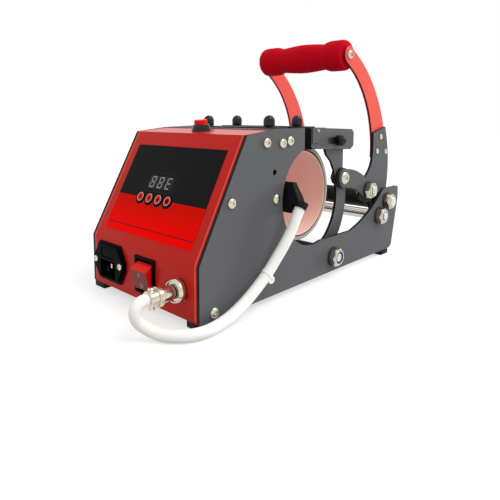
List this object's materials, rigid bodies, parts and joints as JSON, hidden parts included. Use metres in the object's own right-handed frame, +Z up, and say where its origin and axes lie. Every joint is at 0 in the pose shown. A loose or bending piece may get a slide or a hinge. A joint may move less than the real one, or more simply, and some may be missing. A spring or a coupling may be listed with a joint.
{
  "type": "mug heat press",
  "caption": "Benchtop press that wraps a split heater round a mug and clamps it with a toggle handle, with a sloped control panel in front.",
  "frame": {"origin": "centre of the footprint on the floor under the feet", "axes": "+Z up, the control panel faces -Y, +X is the side where the heater lead leaves"},
  "size_m": [0.1827, 0.3755, 0.248],
  "materials": {
    "grey_paint": "powder coat",
    "red_paint": "powder coat",
    "black_rubber": "matte",
    "bright_steel": "bright",
    "chrome": "polished",
    "overlay_film": "satin print",
    "display_glass": "gloss",
    "circuit_board": "satin",
    "red_plastic": "gloss",
    "black_plastic": "satin",
    "black_tube": "satin",
    "pin_brass": "plated",
    "white_sleeve": "woven glass-fibre sleeve",
    "heater_silicone": "matte silicone",
    "grip_foam": "foam"
  },
  "bodies": {
    "frame": {"side_plate_left": "grey_paint", "side_plate_right": "grey_paint", "front_cover": "red_paint", "base_plate": "grey_paint", "rubber_feet": "black_rubber", "rear_wall": "grey_paint", "top_plate": "grey_paint", "frame_screws": "bright_steel", "control_overlay": "overlay_film", "display_window": "display_glass", "control_board": "circuit_board", "button_base": "black_plastic", "rocker_bezel": "black_plastic", "power_inlet": "black_plastic", "inlet_pins": "pin_brass", "panel_socket": "chrome", "lead_plug": "chrome", "heater_lead": "white_sleeve", "lead_boot": "black_rubber", "cable_tie": "white_sleeve", "heater_pad_front": "heater_silicone", "heater_band_front": "bright_steel", "edge_strip_front": "black_rubber", "shafts": "chrome", "shaft_bushes": "black_tube", "shaft_nuts": "bright_steel"},
    "clamp": {"heater_pad_rear": "heater_silicone", "heater_band_rear": "bright_steel", "edge_strip_rear": "black_rubber", "clamp_head": "grey_paint", "head_tabs": "grey_paint", "clamp_arm_left": "grey_paint", "clamp_arm_right": "grey_paint", "arm_tube": "black_tube", "arm_pins": "bright_steel"},
    "handle": {"handle_plate_left": "grey_paint", "handle_plate_right": "grey_paint", "handle_bar_left": "red_paint", "handle_bar_right": "red_paint", "pivot_tube": "black_tube", "handle_pins": "bright_steel", "grip_rod": "bright_steel", "foam_grip": "grip_foam"},
    "links": {"link_left": "grey_paint", "link_right": "grey_paint"},
    "key_1": {"key_1": "red_plastic"},
    "key_2": {"key_2": "red_plastic"},
    "key_3": {"key_3": "red_plastic"},
    "key_4": {"key_4": "red_plastic"},
    "timer_button": {"button_cap": "red_plastic"},
    "power_rocker": {"rocker": "red_plastic"},
    "fuse_drawer_body": {"fuse_drawer": "black_plastic"},
    "coupling_ring": {"plug_ring": "chrome"},
    "knob_front_left_body": {"knob_front_left": "black_plastic"},
    "knob_front_right_body": {"knob_front_right": "black_plastic"},
    "knob_rear_left_body": {"knob_rear_left": "black_plastic"},
    "knob_rear_right_body": {"knob_rear_right": "black_plastic"},
    "knob_ear_left_body": {"knob_ear_left": "black_plastic"},
    "knob_ear_right_body": {"knob_ear_right": "black_plastic"}
  },
  "joints": [
    {"name": "handle_swing", "type": "hinge", "parent": "frame", "child": "handle", "pos_m": [0, 0.1387, 0.065], "axis": [-1, 0, 0], "range_deg": [0, 50]},
    {"name": "arm_swing", "type": "hinge", "parent": "frame", "child": "clamp", "pos_m": [0, 0.0247, 0.0215], "axis": [-1, 0, 0], "range_deg": [0, 14.63]},
    {"name": "link_swing", "type": "hinge", "parent": "handle", "child": "links", "pos_m": [0, 0.11122, 0.07998], "axis": [-1, 0, 0], "range_deg": [-76.83, 0]},
    {"name": "key_1_press", "type": "slide", "parent": "frame", "child": "key_1", "axis": [0, 0.8785, -0.4778], "range_m": [0, 0.0005], "stiffness_N_per_m": 600},
    {"name": "key_2_press", "type": "slide", "parent": "frame", "child": "key_2", "axis": [0, 0.8785, -0.4778], "range_m": [0, 0.0005], "stiffness_N_per_m": 600},
    {"name": "key_3_press", "type": "slide", "parent": "frame", "child": "key_3", "axis": [0, 0.8785, -0.4778], "range_m": [0, 0.0005], "stiffness_N_per_m": 600},
    {"name": "key_4_press", "type": "slide", "parent": "frame", "child": "key_4", "axis": [0, 0.8785, -0.4778], "range_m": [0, 0.0005], "stiffness_N_per_m": 600},
    {"name": "timer_button_press", "type": "slide", "parent": "frame", "child": "timer_button", "axis": [0, 0.0872, -0.9962], "range_m": [0, 0.0025], "stiffness_N_per_m": 800},
    {"name": "power_rocker_tilt", "type": "hinge", "parent": "frame", "child": "power_rocker", "pos_m": [0.0085, -0.1558, 0.0295], "axis": [-1, 0, 0], "range_deg": [0, 30]},
    {"name": "fuse_drawer_pull", "type": "slide", "parent": "frame", "child": "fuse_drawer_body", "axis": [0, -1, 0], "range_m": [0, 0.018]},
    {"name": "coupling_ring_turn", "type": "hinge", "parent": "frame", "child": "coupling_ring", "pos_m": [0.0547, -0.1638, 0.0295], "axis": [0, -1, 0], "continuous": true},
    {"name": "knob_front_left_turn", "type": "hinge", "parent": "frame", "child": "knob_front_left_body", "pos_m": [-0.0423, -0.0378, 0.15851], "axis": [0, 0, 1], "continuous": true},
    {"name": "knob_front_right_turn", "type": "hinge", "parent": "frame", "child": "knob_front_right_body", "pos_m": [0.0423, -0.0378, 0.15851], "axis": [0, 0, 1], "continuous": true},
    {"name": "knob_rear_left_turn", "type": "hinge", "parent": "clamp", "child": "knob_rear_left_body", "pos_m": [-0.0423, 0.0062, 0.15851], "axis": [0, 0, 1], "continuous": true},
    {"name": "knob_rear_right_turn", "type": "hinge", "parent": "clamp", "child": "knob_rear_right_body", "pos_m": [0.0423, 0.0062, 0.15851], "axis": [0, 0, 1], "continuous": true},
    {"name": "knob_ear_left_turn", "type": "hinge", "parent": "clamp", "child": "knob_ear_left_body", "pos_m": [-0.0705, 0.0432, 0.13991], "axis": [-1, 0, 0], "continuous": true},
    {"name": "knob_ear_right_turn", "type": "hinge", "parent": "clamp", "child": "knob_ear_right_body", "pos_m": [0.0705, 0.0432, 0.13991], "axis": [1, 0, 0], "continuous": true}
  ],
  "couplings": [
    {"joint": "arm_swing", "follows": "handle_swing", "ratio": 0.2927},
    {"joint": "link_swing", "follows": "handle_swing", "ratio": -1.5365}
  ]
}
